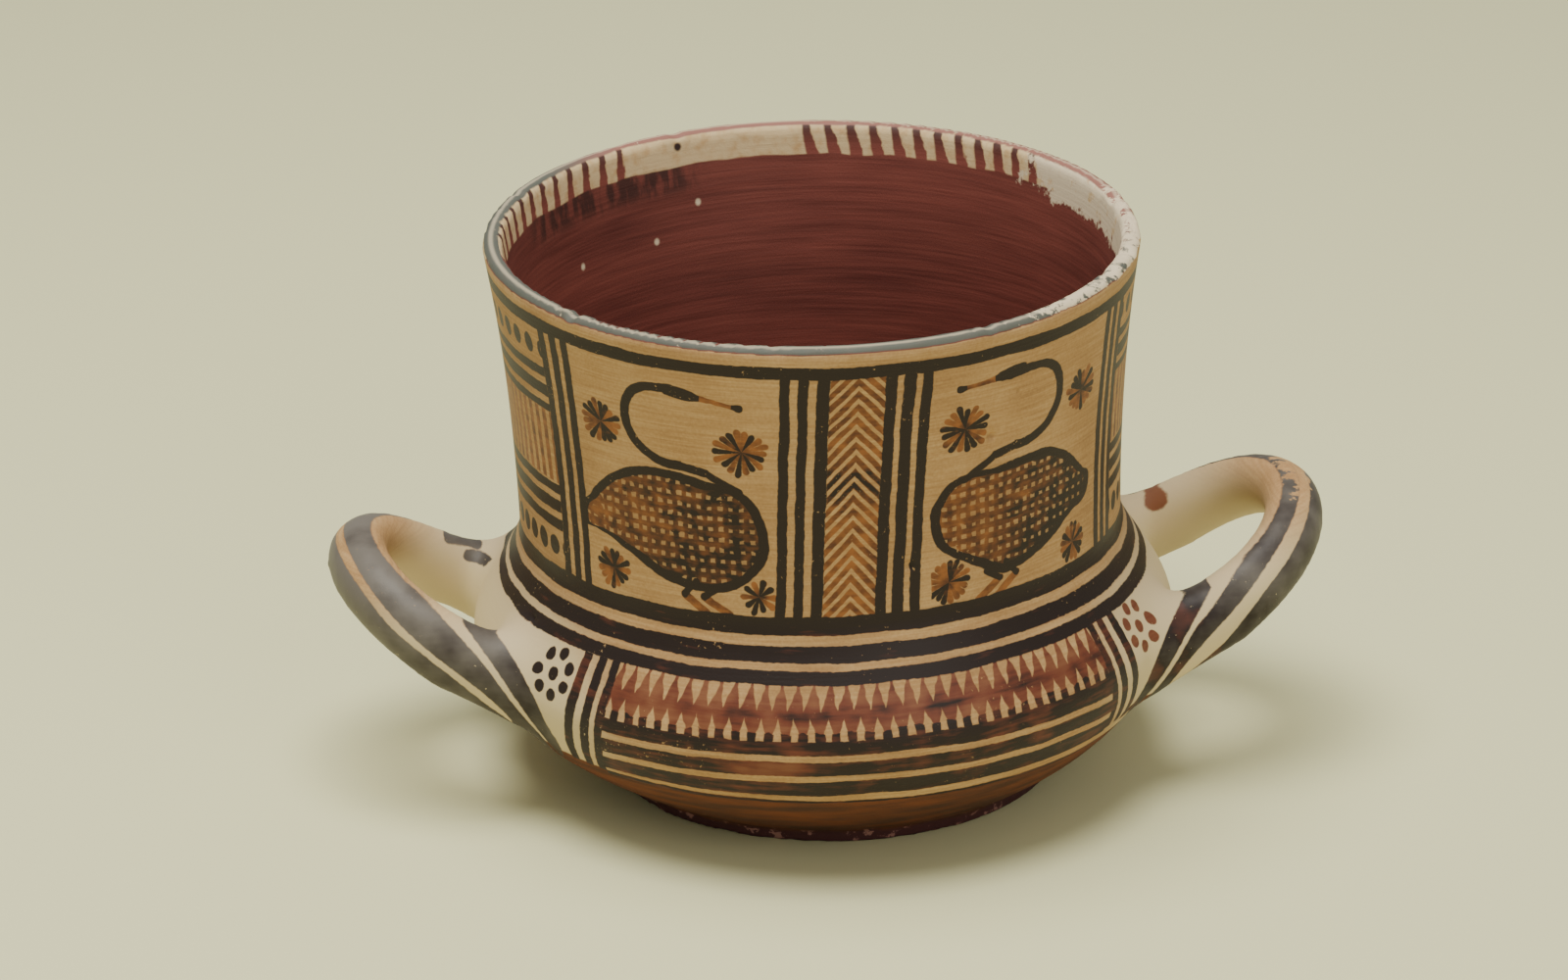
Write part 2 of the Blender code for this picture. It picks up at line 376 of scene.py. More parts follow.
class Field:
    """A number that a material's nodes work out at each point. Sums with it add Math nodes."""

    def __init__(self, tree, socket):
        self.tree = tree
        self.socket = socket

    def sum(self, operation, *terms):
        """A Math node of these terms, each a field or a plain number."""
        node = self.tree.nodes.new("ShaderNodeMath")
        node.operation = operation
        for place, term in enumerate(terms):
            if isinstance(term, Field):
                self.tree.links.new(term.socket, node.inputs[place])
            else:
                node.inputs[place].default_value = term
        return Field(self.tree, node.outputs[0])

    def __add__(self, other):
        return self.sum("ADD", self, other)

    def __radd__(self, other):
        return self.sum("ADD", other, self)

    def __sub__(self, other):
        return self.sum("SUBTRACT", self, other)

    def __rsub__(self, other):
        return self.sum("SUBTRACT", other, self)

    def __mul__(self, other):
        return self.sum("MULTIPLY", self, other)

    def __truediv__(self, other):
        return self.sum("DIVIDE", self, other)

    def size(self):
        """Without its sign."""
        return self.sum("ABSOLUTE", self)

    def least(self, *others):
        """The smallest of these: where all the shapes are."""
        result = self
        for other in others:
            result = result.sum("MINIMUM", result, other)
        return result

    def most(self, *others):
        """The largest of these: where any of the shapes is."""
        result = self
        for other in others:
            result = result.sum("MAXIMUM", result, other)
        return result

    def power(self, exponent):
        """Raised to a power; the field has to be positive."""
        return self.sum("POWER", self, exponent)

    def sine(self):
        """Its sine."""
        return self.sum("SINE", self)

    def cosine(self):
        """Its cosine."""
        return self.sum("COSINE", self)

    def over(self, limit):
        """1 where the field is above the limit, else 0."""
        return self.sum("GREATER_THAN", self, limit)

    def rising(self, low, high):
        """A soft step from 0 at low to 1 at high."""
        node = self.tree.nodes.new("ShaderNodeMapRange")
        node.interpolation_type = "SMOOTHSTEP"
        self.tree.links.new(self.socket, node.inputs["Value"])
        node.inputs["From Min"].default_value = low
        node.inputs["From Max"].default_value = high
        return Field(self.tree, node.outputs["Result"])

    def stripe(self, centre, half):
        """How deep inside a stripe of the field's values, negative outside it."""
        return half - (self - centre).size()

    def repeat(self, pitch, shift=0.0):
        """Distance to the middle of the nearest of evenly spaced places, with its sign."""
        wrapped = self.sum("WRAP", self, shift + pitch / 2, shift - pitch / 2)
        return wrapped - shift

    def scatter(self, seed):
        """A number from 0 to 1 for each whole number, in no visible order."""
        return self.sum("FRACT", (self * 12.9898 + seed).sine() * 4375.85)

    def curve(self, points):
        """A smooth curve through (value, height) points in order of value."""
        low, high = points[0][0], points[-1][0]
        tallest = max(height for _, height in points)
        node = self.tree.nodes.new("ShaderNodeFloatCurve")
        share = (self - low) / (high - low)
        self.tree.links.new(share.socket, node.inputs["Value"])
        line = node.mapping.curves[0]
        placed = [((value - low) / (high - low), height / tallest) for value, height in points]
        line.points[0].location = placed[0]
        line.points[1].location = placed[-1]
        for place in placed[1:-1]:
            line.points.new(*place)
        node.mapping.update()
        return Field(self.tree, node.outputs["Value"]) * tallest


class Painting:
    """The places and textures that one material's painting is worked out from."""

    def __init__(self, name):
        self.material = bpy.data.materials.new(name)
        self.material.use_nodes = True
        self.tree = self.material.node_tree
        self.shader = self.tree.nodes["Principled BSDF"]
        self.shader.inputs["Specular IOR Level"].default_value = 0.25
        scaled = self.tree.nodes.new("ShaderNodeVectorMath")
        scaled.operation = "SCALE"
        scaled.inputs["Scale"].default_value = MM
        self.tree.links.new(self.attribute("thrown").outputs["Vector"], scaled.inputs[0])
        self.place = scaled.outputs["Vector"]
        split = self.tree.nodes.new("ShaderNodeSeparateXYZ")
        self.tree.links.new(self.place, split.inputs[0])
        self.x, self.y, self.z = [Field(self.tree, socket) for socket in split.outputs]
        self.azimuth = self.x.sum("ARCTAN2", self.x, self.y * -1)

    def attribute(self, name):
        """A node that reads one of the clay's attributes."""
        node = self.tree.nodes.new("ShaderNodeAttribute")
        node.attribute_name = name
        return node

    def noise(self, scale, detail=2.0, stretch=(1, 1, 1), roughness=0.5):
        """A noise's level, about 0.5, over the thrown shape; scale is per millimetre."""
        mapping = self.tree.nodes.new("ShaderNodeMapping")
        mapping.inputs["Scale"].default_value = stretch
        self.tree.links.new(self.place, mapping.inputs["Vector"])
        node = self.tree.nodes.new("ShaderNodeTexNoise")
        node.inputs["Scale"].default_value = scale
        node.inputs["Detail"].default_value = detail
        node.inputs["Roughness"].default_value = roughness
        self.tree.links.new(mapping.outputs["Vector"], node.inputs["Vector"])
        return Field(self.tree, node.outputs[0])

    def mix(self, share, under, above):
        """A colour socket: under where share is 0, above where it is 1.

        A mix node's sockets 6 and 7 are its two colours, and its output 2 is their mix.
        """
        node = self.tree.nodes.new("ShaderNodeMix")
        node.data_type = "RGBA"
        self.tree.links.new(share.socket, node.inputs["Factor"])
        for place, colour in ((6, under), (7, above)):
            if isinstance(colour, tuple):
                node.inputs[place].default_value = colour
            else:
                self.tree.links.new(colour, node.inputs[place])
        return node.outputs[2]

    def ramp(self, level, stops):
        """A colour socket that runs through (level, colour) stops."""
        node = self.tree.nodes.new("ShaderNodeValToRGB")
        self.tree.links.new(level.socket, node.inputs[0])
        elements = node.color_ramp.elements
        elements[0].position, elements[0].color = stops[0]
        elements[1].position, elements[1].color = stops[-1]
        for position, colour in stops[1:-1]:
            elements.new(position).color = colour
        return node.outputs[0]

    def bare_clay(self):
        """The unpainted clay's colour: buff with wheel streaks, paler and creamier by handles."""
        streaks = self.noise(1.5, 3, (0.06, 0.06, 1.5))
        patches = self.noise(0.06, 2)
        grain = self.noise(1.8, 2)
        level = streaks * 0.6 + patches * 0.5 + grain * 0.35
        clay = self.ramp(level, [(0.40, DUSKY_BUFF), (0.70, BUFF), (0.95, PALE_BUFF)])
        near_handles = (self.x.size() / ROUND_RADIUS + patches * 0.12).rising(0.78, 1.02)
        low = 1 - self.z.rising(38, 50)
        return self.mix(near_handles * low, clay, CREAM)

    def hand_places(self):
        """How far round (folded so that the back repeats the front) and how high, wobbled."""
        folded = (self.azimuth * ROUND_RADIUS).repeat(HALF_TURN)
        sideways = (self.noise(0.15, 1) - 0.5) * 0.6
        upward = (self.noise(0.10, 1, (1, 1, 1.7)) - 0.5) * 0.8
        return folded + sideways, self.z + upward

    def brush_level(self, thickness, turned):
        """The paint's thickness with streaks, where it was laid on the wheel, and with pools."""
        streaks = self.noise(0.9, 3, (0.16, 0.16, 1.3))
        pools = self.noise(0.05, 2)
        return thickness + (streaks - 0.5) * turned * 0.5 + (pools - 0.5) * 0.4

    def finish(self, cover, paint, clay, turned):
        """Lay paint over the clay, with specks rubbed off it, and set gloss and grain."""
        rubbed = self.noise(0.09, 2) * 0.30 + self.noise(1.4, 4, roughness=0.62)
        worn = 1 - rubbed.rising(0.835, 0.90) * 0.85
        painted = cover.least(worn)
        colour = self.mix(painted, clay, paint)
        self.tree.links.new(colour, self.shader.inputs["Base Color"])
        gloss = 0.74 - painted * 0.26
        self.tree.links.new(gloss.socket, self.shader.inputs["Roughness"])
        self.surface_grain(turned)

    def surface_grain(self, turned):
        """Fine grain of the fired surface, and wheel marks where it was turned, as a bump."""
        grain = self.noise(2.2, 3)
        wheel = self.noise(1.3, 2, (0.05, 0.05, 1.0))
        height = grain * 0.5 + wheel * turned
        bump = self.tree.nodes.new("ShaderNodeBump")
        bump.inputs["Strength"].default_value = 0.5
        bump.inputs["Distance"].default_value = 0.00012
        self.tree.links.new(height.socket, bump.inputs["Height"])
        self.tree.links.new(bump.outputs["Normal"], self.shader.inputs["Normal"])


def shade(red, green, blue):
    """A colour given in the usual 0 to 255, as the linear values that a shader takes."""
    linear = [channel / 12.92 if channel <= 0.04045 else ((channel + 0.055) / 1.055) ** 2.4
              for channel in (red / 255, green / 255, blue / 255)]
    return (*linear, 1.0)


BUFF = shade(170, 133, 88)
DUSKY_BUFF = shade(142, 106, 66)
PALE_BUFF = shade(190, 155, 108)
CREAM = shade(208, 188, 148)
THIN_PAINT = shade(144, 90, 46)
BROWN_PAINT = shade(98, 58, 34)
DARK_PAINT = shade(39, 29, 26)
GREY_PAINT = shade(104, 98, 90)
RED_PAINT = shade(106, 56, 40)
RED_THIN = shade(128, 82, 56)
INNER_PAINT = shade(128, 70, 60)
INNER_DARK = shade(92, 48, 42)
INNER_BLACK = shade(54, 38, 34)
BELLY_WASH = shade(112, 62, 36)
WASH_DARK = shade(72, 46, 34)
FOOT_PAINT = shade(74, 42, 44)
FOOT_WORN = shade(150, 108, 100)
LIP_GREY = shade(84, 86, 78)
LIP_PINK = shade(140, 94, 82)
PALE_CLAY = shade(206, 181, 137)
# Pale worn clay, also used for the painted highlight along the lip's crest
WORN_CLAY_AND_HIGHLIGHT = shade(214, 198, 166)

# Paints from where they lie thin to where they lie thick
BLACK_STOPS = [(0.10, THIN_PAINT), (0.42, BROWN_PAINT), (0.66, DARK_PAINT)]
RED_STOPS = [(0.05, RED_THIN), (0.40, RED_PAINT), (0.72, DARK_PAINT)]
HANDLE_STOPS = [(0.28, RED_THIN), (0.46, RED_PAINT), (0.60, DARK_PAINT), (0.92, GREY_PAINT)]


def soft_edge(depth, width=0.11):
    """Paint's cover, 0 to 1, from how deep inside a painted shape a point is."""
    return depth.rising(-width, width)


def stroke(u, z, start, end, half):
    """How deep inside a straight brush stroke between two places."""
    run, rise = end[0] - start[0], end[1] - start[1]
    length = hypot(run, rise)
    right, up = u - start[0], z - start[1]
    along = right * (run / length) + up * (rise / length)
    beside = up * (run / length) - right * (rise / length)
    past = (along - length).most(along * -1, 0.0)
    return half - (beside * beside + past * past).power(0.5)


def polar(right, up):
    """Distance from a middle, and the direction there as 0 to 1 of a full turn."""
    distance = (right * right + up * up).power(0.5)
    turn = right.sum("ARCTAN2", up, right) / (2 * pi)
    return distance, turn.sum("WRAP", turn, 1.0, 0.0)


def round_outline(turn, middle, places):
    """The distance from a middle to the closed outline through places, in each direction."""
    found = [(Vector(place) - Vector(middle)) for place in places]
    spread = sorted((degrees(arm.angle_signed(Vector((1, 0)))) % 360, arm.length)
                    for arm in found)
    first, last = spread[0], spread[-1]
    gap = first[0] + 360 - last[0]
    seam = last[1] + (first[1] - last[1]) * (360 - last[0]) / gap
    return (turn * 360).curve([(0, seam), *spread, (360, seam)])


# Outlines of the two birds' bodies, and the bend of the neck: round the cup, and up
LEFT_BODY = [(-18.0, 67.5), (-19.0, 72.0), (-21.8, 75.7), (-25.5, 77.4), (-30.0, 77.8),
             (-35.0, 78.7), (-40.0, 78.8), (-45.0, 77.5), (-50.0, 74.6), (-54.0, 70.6),
             (-57.0, 65.0), (-53.0, 64.2), (-47.0, 62.4), (-42.0, 60.0), (-37.0, 57.8),
             (-33.0, 56.8), (-28.0, 56.6), (-24.0, 57.8), (-20.0, 61.0), (-18.3, 64.0)]
RIGHT_BODY = [(-14.0, 68.5), (-15.7, 73.4), (-19.0, 76.2), (-24.0, 76.8), (-29.0, 76.7),
              (-35.0, 76.9), (-39.0, 76.9), (-42.5, 75.6), (-47.0, 72.5), (-50.5, 69.3),
              (-53.0, 66.4), (-47.0, 62.3), (-43.0, 60.3), (-38.0, 58.0), (-33.0, 56.5),
              (-29.0, 55.9), (-26.0, 57.2), (-22.0, 59.3), (-18.0, 61.5), (-15.0, 64.5)]
NECK_BEND = [(-33.5, 81.0), (-38.0, 81.7), (-41.0, 83.3), (-43.4, 86.5), (-44.0, 90.0),
             (-42.8, 93.6), (-40.0, 96.1), (-36.0, 96.8), (-33.0, 96.6), (-28.0, 94.0),
             (-26.0, 89.0), (-28.0, 84.0)]


def bird(u, z, half, uneven):
    """A long-necked bird that faces the middle: dark outline, and brown hatching.

    The places are the left bird's. The right one is its mirror image and a little off, by
    half, which is 1 on the right.
    """
    middle = (-35.0, 67.8)
    distance, turn = polar(u - middle[0], z - middle[1])
    left = round_outline(turn, middle, LEFT_BODY)
    right = round_outline(turn, middle, RIGHT_BODY)
    inward = (left + (right - left) * half - distance) * 0.93
    dark = 0.92 - inward.size()

    hook = (-33.5, 89.0)
    right_up, shifted = z + half * 0.3, u - half * 2.0
    reach, way = polar(shifted - hook[0], right_up - hook[1])
    ring = 1.0 - (round_outline(way, hook, NECK_BEND) - reach).size()
    behind = shifted * -1 - 33.0
    dark = dark.most(ring.least(behind))
    dark = dark.most(stroke(shifted, right_up, (-33.5, 81.0), (-28.5, 80.1), 0.92))
    dark = dark.most(stroke(shifted, right_up, (-28.5, 80.1), (-22.2, 76.6), 0.78))

    nape, tip = (-35.5, 96.9), (-20.5, 94.1)
    length = hypot(tip[0] - nape[0], tip[1] - nape[1])
    run, rise = (tip[0] - nape[0]) / length, (tip[1] - nape[1]) / length
    head_u = u - half * 2.6
    head_z = z - half * ((u + 31) * 0.085 + 0.1)
    along = (head_u - nape[0]) * run + (head_z - nape[1]) * rise
    beside = (head_z - nape[1]) * run - (head_u - nape[0]) * rise
    breadth = along.curve([(0, 0.95), (3.0, 1.35), (5.5, 1.1), (7.5, 0.62), (13.0, 0.5),
                           (14.6, 0.8), (15.3, 0.0)])
    beak = (breadth - beside.size()).least(along, 15.3 - along)
    dark = dark.most(beak.least(7.2 - along), beak.least(along - 13.2))

    leg_u, leg_z = u - half * 2.0, z + half * 0.4
    dark = dark.most(stroke(leg_u, leg_z, (-31.5, 57.6), (-34.0, 54.9), 0.7))
    dark = dark.most(stroke(leg_u, leg_z, (-27.0, 56.8), (-30.0, 54.7), 0.7))
    brown = beak.most(stroke(leg_u, leg_z, (-34.0, 54.9), (-29.6, 51.6), 0.8))
    brown = brown.most(stroke(leg_u, leg_z, (-30.0, 54.7), (-25.0, 51.6), 0.8))

    from_front = ((u + 54) / 40).least(1.0).most(0.0)
    from_tail = ((u + 18) / -26).least(1.0).most(0.0)
    darker = from_front + (from_tail - from_front) * half + (70 - z).most(0.0) * 0.03
    across = (u + (uneven - 0.5) * 0.7).repeat(2.0).size()
    upwards = (z + (uneven - 0.5) * 0.8).repeat(2.15).size()
    lines = across.most(upwards + 0.06) + (uneven * 0.6 - 0.80) + darker * 0.12
    tail = 1 - (u + 51).rising(-1.5, 1.5)
    lines = lines.most((z + u * 0.3).repeat(2.0).size() - 0.3 - (1 - tail) * 3)
    brown = brown.most(lines.least(inward))
    return dark, brown, inward, darker


def rosettes(u, z):
    """Four many-petalled rosettes to a panel, in the gaps round the bird."""
    upper = z.over(71)
    steps = [u.over(-35), u.over(0), u.over(34)]

    def picked(low_row, high_row):
        """Each of the eight rosettes' own number, by where the point is."""
        sums = []
        for row in (low_row, high_row):
            total = steps[0] * (row[1] - row[0]) + row[0]
            for step, before, after in zip(steps[1:], row[1:], row[2:]):
                total = total + step * (after - before)
            sums.append(total)
        return sums[0] + (sums[1] - sums[0]) * upper

    column = picked((-50.0, -19.3, 16.8, 48.0), (-50.0, -21.3, 20.0, 49.0))
    row = picked((57.0, 55.6, 56.0, 55.5), (86.7, 85.0, 86.6, 86.5))
    radius = picked((4.2, 3.7, 4.7, 4.2), (4.8, 5.4, 5.2, 4.8))
    count = picked((15, 10, 17, 15), (17, 18, 17, 17))
    distance, turn = polar(u - column, z - row)
    spokes = turn * count
    beside = spokes.repeat(1.0)
    petal = spokes - beside
    petal = petal.sum("WRAP", petal, count - 0.5, -0.5)
    kind = (petal + column * 0.37).scatter(1.7)
    length = radius * (0.80 + kind * 0.22)
    along = distance / length
    half = 0.22 + along * 0.50
    sideways = beside * distance * (2 * pi) / count
    past = (distance + 0.6 - length).most(0.0)
    depth = half - (sideways * sideways + past * past).power(0.5)
    return depth, (petal + column * 0.53).scatter(4.1), distance


def neck_painting():
    """The neck: a middle column of chevrons between bird panels, and side panels of stripes."""
    art = Painting("painted_neck")
    u, z = art.hand_places()
    tilt = art.azimuth.sine()
    side = u.size()
    half = u.over(0)
    straight = u - (z - 98) * 0.054
    uneven = art.noise(0.42, 2)

    lines = straight.stripe(-12.9, 0.95).most(straight.stripe(-9.7, 0.92))
    lines = lines.most(straight.stripe(-6.2, 1.15), straight.stripe(5.8, 1.05))
    lines = lines.most(straight.stripe(9.05, 1.15), straight.stripe(12.3, 1.0))
    lines = lines.most(side.stripe(57.4, 1.0), side.stripe(60.5, 1.0), side.stripe(63.8, 1.05))
    dark = lines.least(102.5 - z)
    lip_band = (z + tilt * 0.5).stripe(*LIP_BAND)
    shoulder_band = (z + tilt * SHOULDER_TILT).stripe(*SHOULDER_BAND)
    dark = dark.most(lip_band, shoulder_band)

    mirrored = side * -1
    bird_dark, bird_brown, inward, darker = bird(mirrored, z, half, uneven)
    panel = side - 13.2
    dark = dark.most(bird_dark.least(panel))
    petals, petal_kind, from_middle = rosettes(u, z)
    petals = petals.least(panel, -0.6 - inward)

    slanted = (z + straight.size() * 1.15).repeat(2.7).size()
    chevron = (0.82 - slanted).least(straight.stripe(-0.1, 5.0))

    beyond = side - 64.8
    dots = 1.55 - polar(side.repeat(4.75, 2.6), (z - 97.0) * 0.8)[0]
    low_dots = 1.85 - polar(side.repeat(4.8, 1.2), (z - 56.2) * 0.92)[0]
    bands = z.stripe(92.2, 0.95).most(z.stripe(88.6, 1.3), z.stripe(85.0, 0.85))
    bands = bands.most(z.stripe(68.3, 1.0), z.stripe(64.8, 1.25), z.stripe(61.0, 1.15))
    dark = dark.most(dots.most(low_dots, bands).least(beyond))
    hatching = (0.72 - side.repeat(2.7).size()).least(z.stripe(76.9, 7.2), beyond)

    edge = (art.noise(0.9, 2) - 0.5) * 0.4
    dark_cover = soft_edge(dark + edge)
    in_body = inward.rising(0.0, 0.3).least(panel.rising(0, 0.2))
    tinted = in_body * 0.22
    field = z.stripe(76.0, 25.9)
    shapes = chevron.most(bird_brown.least(panel), petals, hatching)
    brown_cover = soft_edge(shapes.least(field) + edge)
    cover = dark_cover.most(brown_cover, tinted)

    mottle = (uneven - 0.5) * 0.9
    thin = 0.27 + mottle + in_body * (darker * 0.34 + 0.02)
    in_petals = petals.rising(-0.2, 0.1)
    thin = thin + in_petals * (petal_kind.rising(0.45, 0.62) * 0.55 - 0.06)
    thin = thin + in_petals * (1 - from_middle.rising(0.5, 2.2)) * 0.25
    in_column = chevron.rising(-0.1, 0.4)
    thin = thin + in_column * ((z.stripe(78, 6) / 6).most(0.0) * 0.45 + 0.02)
    thickness = thin + (0.86 - thin) * dark_cover
    paint = art.ramp(art.brush_level(thickness, 1.0), BLACK_STOPS)
    art.finish(cover, paint, art.bare_clay(), 1.0)
    return art.material


def root_frame(side):
    """A handle root's distance, and the run and rise of its sloping plane."""
    root = sqrt(BELLY_RADIUS ** 2 - ROOT_SPREAD[side] ** 2)
    run = BELLY_RADIUS + HANDLE_REACH[side] - BAND_THICKNESS / 2 - root
    return root, run, HANDLE_RISE[side]


def loop_places(art):
    """Places on a handle, in millimetres from its roots along its sloping plane and over it.

    The loop's field is 1 on the band's middle line and more outside it. The last is 1 on
    the right handle.
    """
    right = art.x.over(0)
    places = []
    for side in (LEFT, RIGHT):
        root, run, rise = root_frame(side)
        length = hypot(run, rise)
        level = BELLY_LEVEL - ROOT_DROP[side]
        places.append((root * MM, run / length, rise / length, level * MM,
                       length * MM, ROOT_SPREAD[side] * MM))
    root, flat, steep, level, length, spread = [
        right * (of_right - of_left) + of_left for of_left, of_right in zip(*places)]
    out = art.x.size() - root
    up = art.z - level
    along = out * flat + up * steep
    height = up * flat - out * steep
    across = art.y / spread
    loop = across * across + (along / length).most(0.0).power(2 / LOOP_SQUARENESS)
    return along, height, loop, right


# Edges of the handles' bands and leaf strokes: millimetres along the handle, and over its
# plane with the plane itself at PLANE
LEFT_LINE_LOW = [(-14, 15.0), (-6, 16.6), (-3, 17.2), (4.4, 17.8), (11, 18.4), (18, 18.7),
                 (27, 18.9), (31, 19.6), (38, 20.3)]
LEFT_LINE_HIGH = [(-14, 12), (-6, 15.4), (-3, 17.2), (-2, 17.9), (4, 19.3), (10, 19.7),
                  (20, 20.0), (26, 20.5), (30, 21.0), (38, 22.3)]
LEFT_WIDE_HIGH = [(-14, 16.8), (-8.8, 18.9), (-2.2, 20.8), (3.9, 22.7), (8.2, 24.1),
                  (12, 24.9), (16, 25.6), (21, 26.2), (34, 26.4)]
RIGHT_LINE_LOW = [(-14, 14.5), (-6, 15.8), (-3.7, 16.6), (2, 16.9), (7, 17.4), (10.7, 17.7),
                  (13.5, 18.3), (18.6, 19.4), (24.4, 20.4), (30, 20.8), (38.8, 21.7)]
RIGHT_LINE_HIGH = [(-14, 12), (-6, 15.4), (-3.7, 17.0), (2.4, 19.8), (9, 21.1), (15.5, 21.8),
                   (21, 22.6), (27, 23.4), (40, 24.0)]
RIGHT_WIDE_HIGH = [(-14, 16.8), (-8, 18.6), (-1.3, 20.9), (3.2, 22.6), (8.7, 24.5), (13, 25.0),
                   (17, 25.7), (21, 26.4), (40, 26.6)]
LEAF_LOW = [(-14, 17.6), (-9, 19.3), (-4, 21.0), (1.6, 23.1), (6, 24.7), (11, 26.2), (18, 27.8)]
LEAF_HIGH = [(-14, 18.2), (-10.5, 21.0), (-5.8, 23.2), (-2, 25.3), (1.5, 27.0), (5, 28.4),
             (9, 29.2), (13, 29.2), (18, 28.2)]
PLANE = 20.0


def handle_paint(along, height, loop, right, rear):
    """Dark bands along the handles' outer faces, which run together below the roots."""
    lifted = height + PLANE

    def picked(left_places, right_places):
        """The left handle's edge, or the right one's."""
        left = along.curve(left_places)
        return left + (along.curve(right_places) - left) * right

    outer = (loop - 1.10) * 7.0
    line_low = picked(LEFT_LINE_LOW, RIGHT_LINE_LOW)
    line_high = picked(LEFT_LINE_HIGH, RIGHT_LINE_HIGH)
    wide_high = picked(LEFT_WIDE_HIGH, RIGHT_WIDE_HIGH)
    thin = (line_low - lifted).least(lifted - PLANE + 7.0)
    wide = (lifted - line_high).least(wide_high - lifted)
    leaf = (lifted - along.curve(LEAF_LOW)).least(along.curve(LEAF_HIGH) - lifted, 15.5 - along)
    over_top = (loop - 0.75 - rear * 0.35) * 8.0
    return thin.most(wide).least(outer).most(leaf.least(over_top))


def root_touches(along, height, loop, right, rear):
    """Short strokes over the rear roots: two dark ones on the left, a red patch on the right."""
    upper = stroke(along, height, (9.5, 9.5), (15.0, 7.8), 1.25).least((loop - 0.60) * 9)
    lower = stroke(along, height, (5.0, 9.4), (10.0, 6.8), 0.95).least((loop - 0.50) * 9)
    left = upper.most(lower) - right * HIDDEN
    patch = 1.0 - polar((along - 14.0) * 0.42, (height - 7.0) * 0.6)[0]
    patch = patch - (1 - right) * HIDDEN
    return left - (1 - rear) * HIDDEN, patch - (1 - rear) * HIDDEN


def dot_rosette(u, z):
    """Seven dots round an eighth, beside each handle's roots."""
    distance, turn = polar(u.size() - 59.4, z - 35.1)
    spread = (turn * 7).repeat(1.0) * (2 * pi / 7)
    ring = polar(distance * spread.cosine() - 3.7, distance * spread.sine())[0]
    return (1.12 - ring).most(1.2 - distance)


def tongue_panel(art, u, z, upright):
    """Clay tongues that hang over clay drops, set in thin paint, with dark teeth below."""
    jitter = (art.noise(0.5, 1, (1, 1, 0.4)) - 0.5) * 0.9
    slanted = u - (z - 38) * 0.10 + jitter
    tongue = ((z - 36.2) * 0.30).least(1.05) - slanted.repeat(2.72).size()
    tongue = tongue.least(z - 36.3)
    lower = u + jitter * 0.8
    drop = ((34.9 - z) * 0.32).least(0.74) - lower.repeat(2.72, 0.9).size()
    drop = drop.least(z - 31.0)
    panel = TONGUES_END - upright
    paint = panel.least(40.6 - z, z - 30.6, tongue.most(drop) * -1)
    teeth = panel.least(32.7 - z + (jitter * 1.6), z - 30.0, 0.15 - drop)
    return paint, teeth


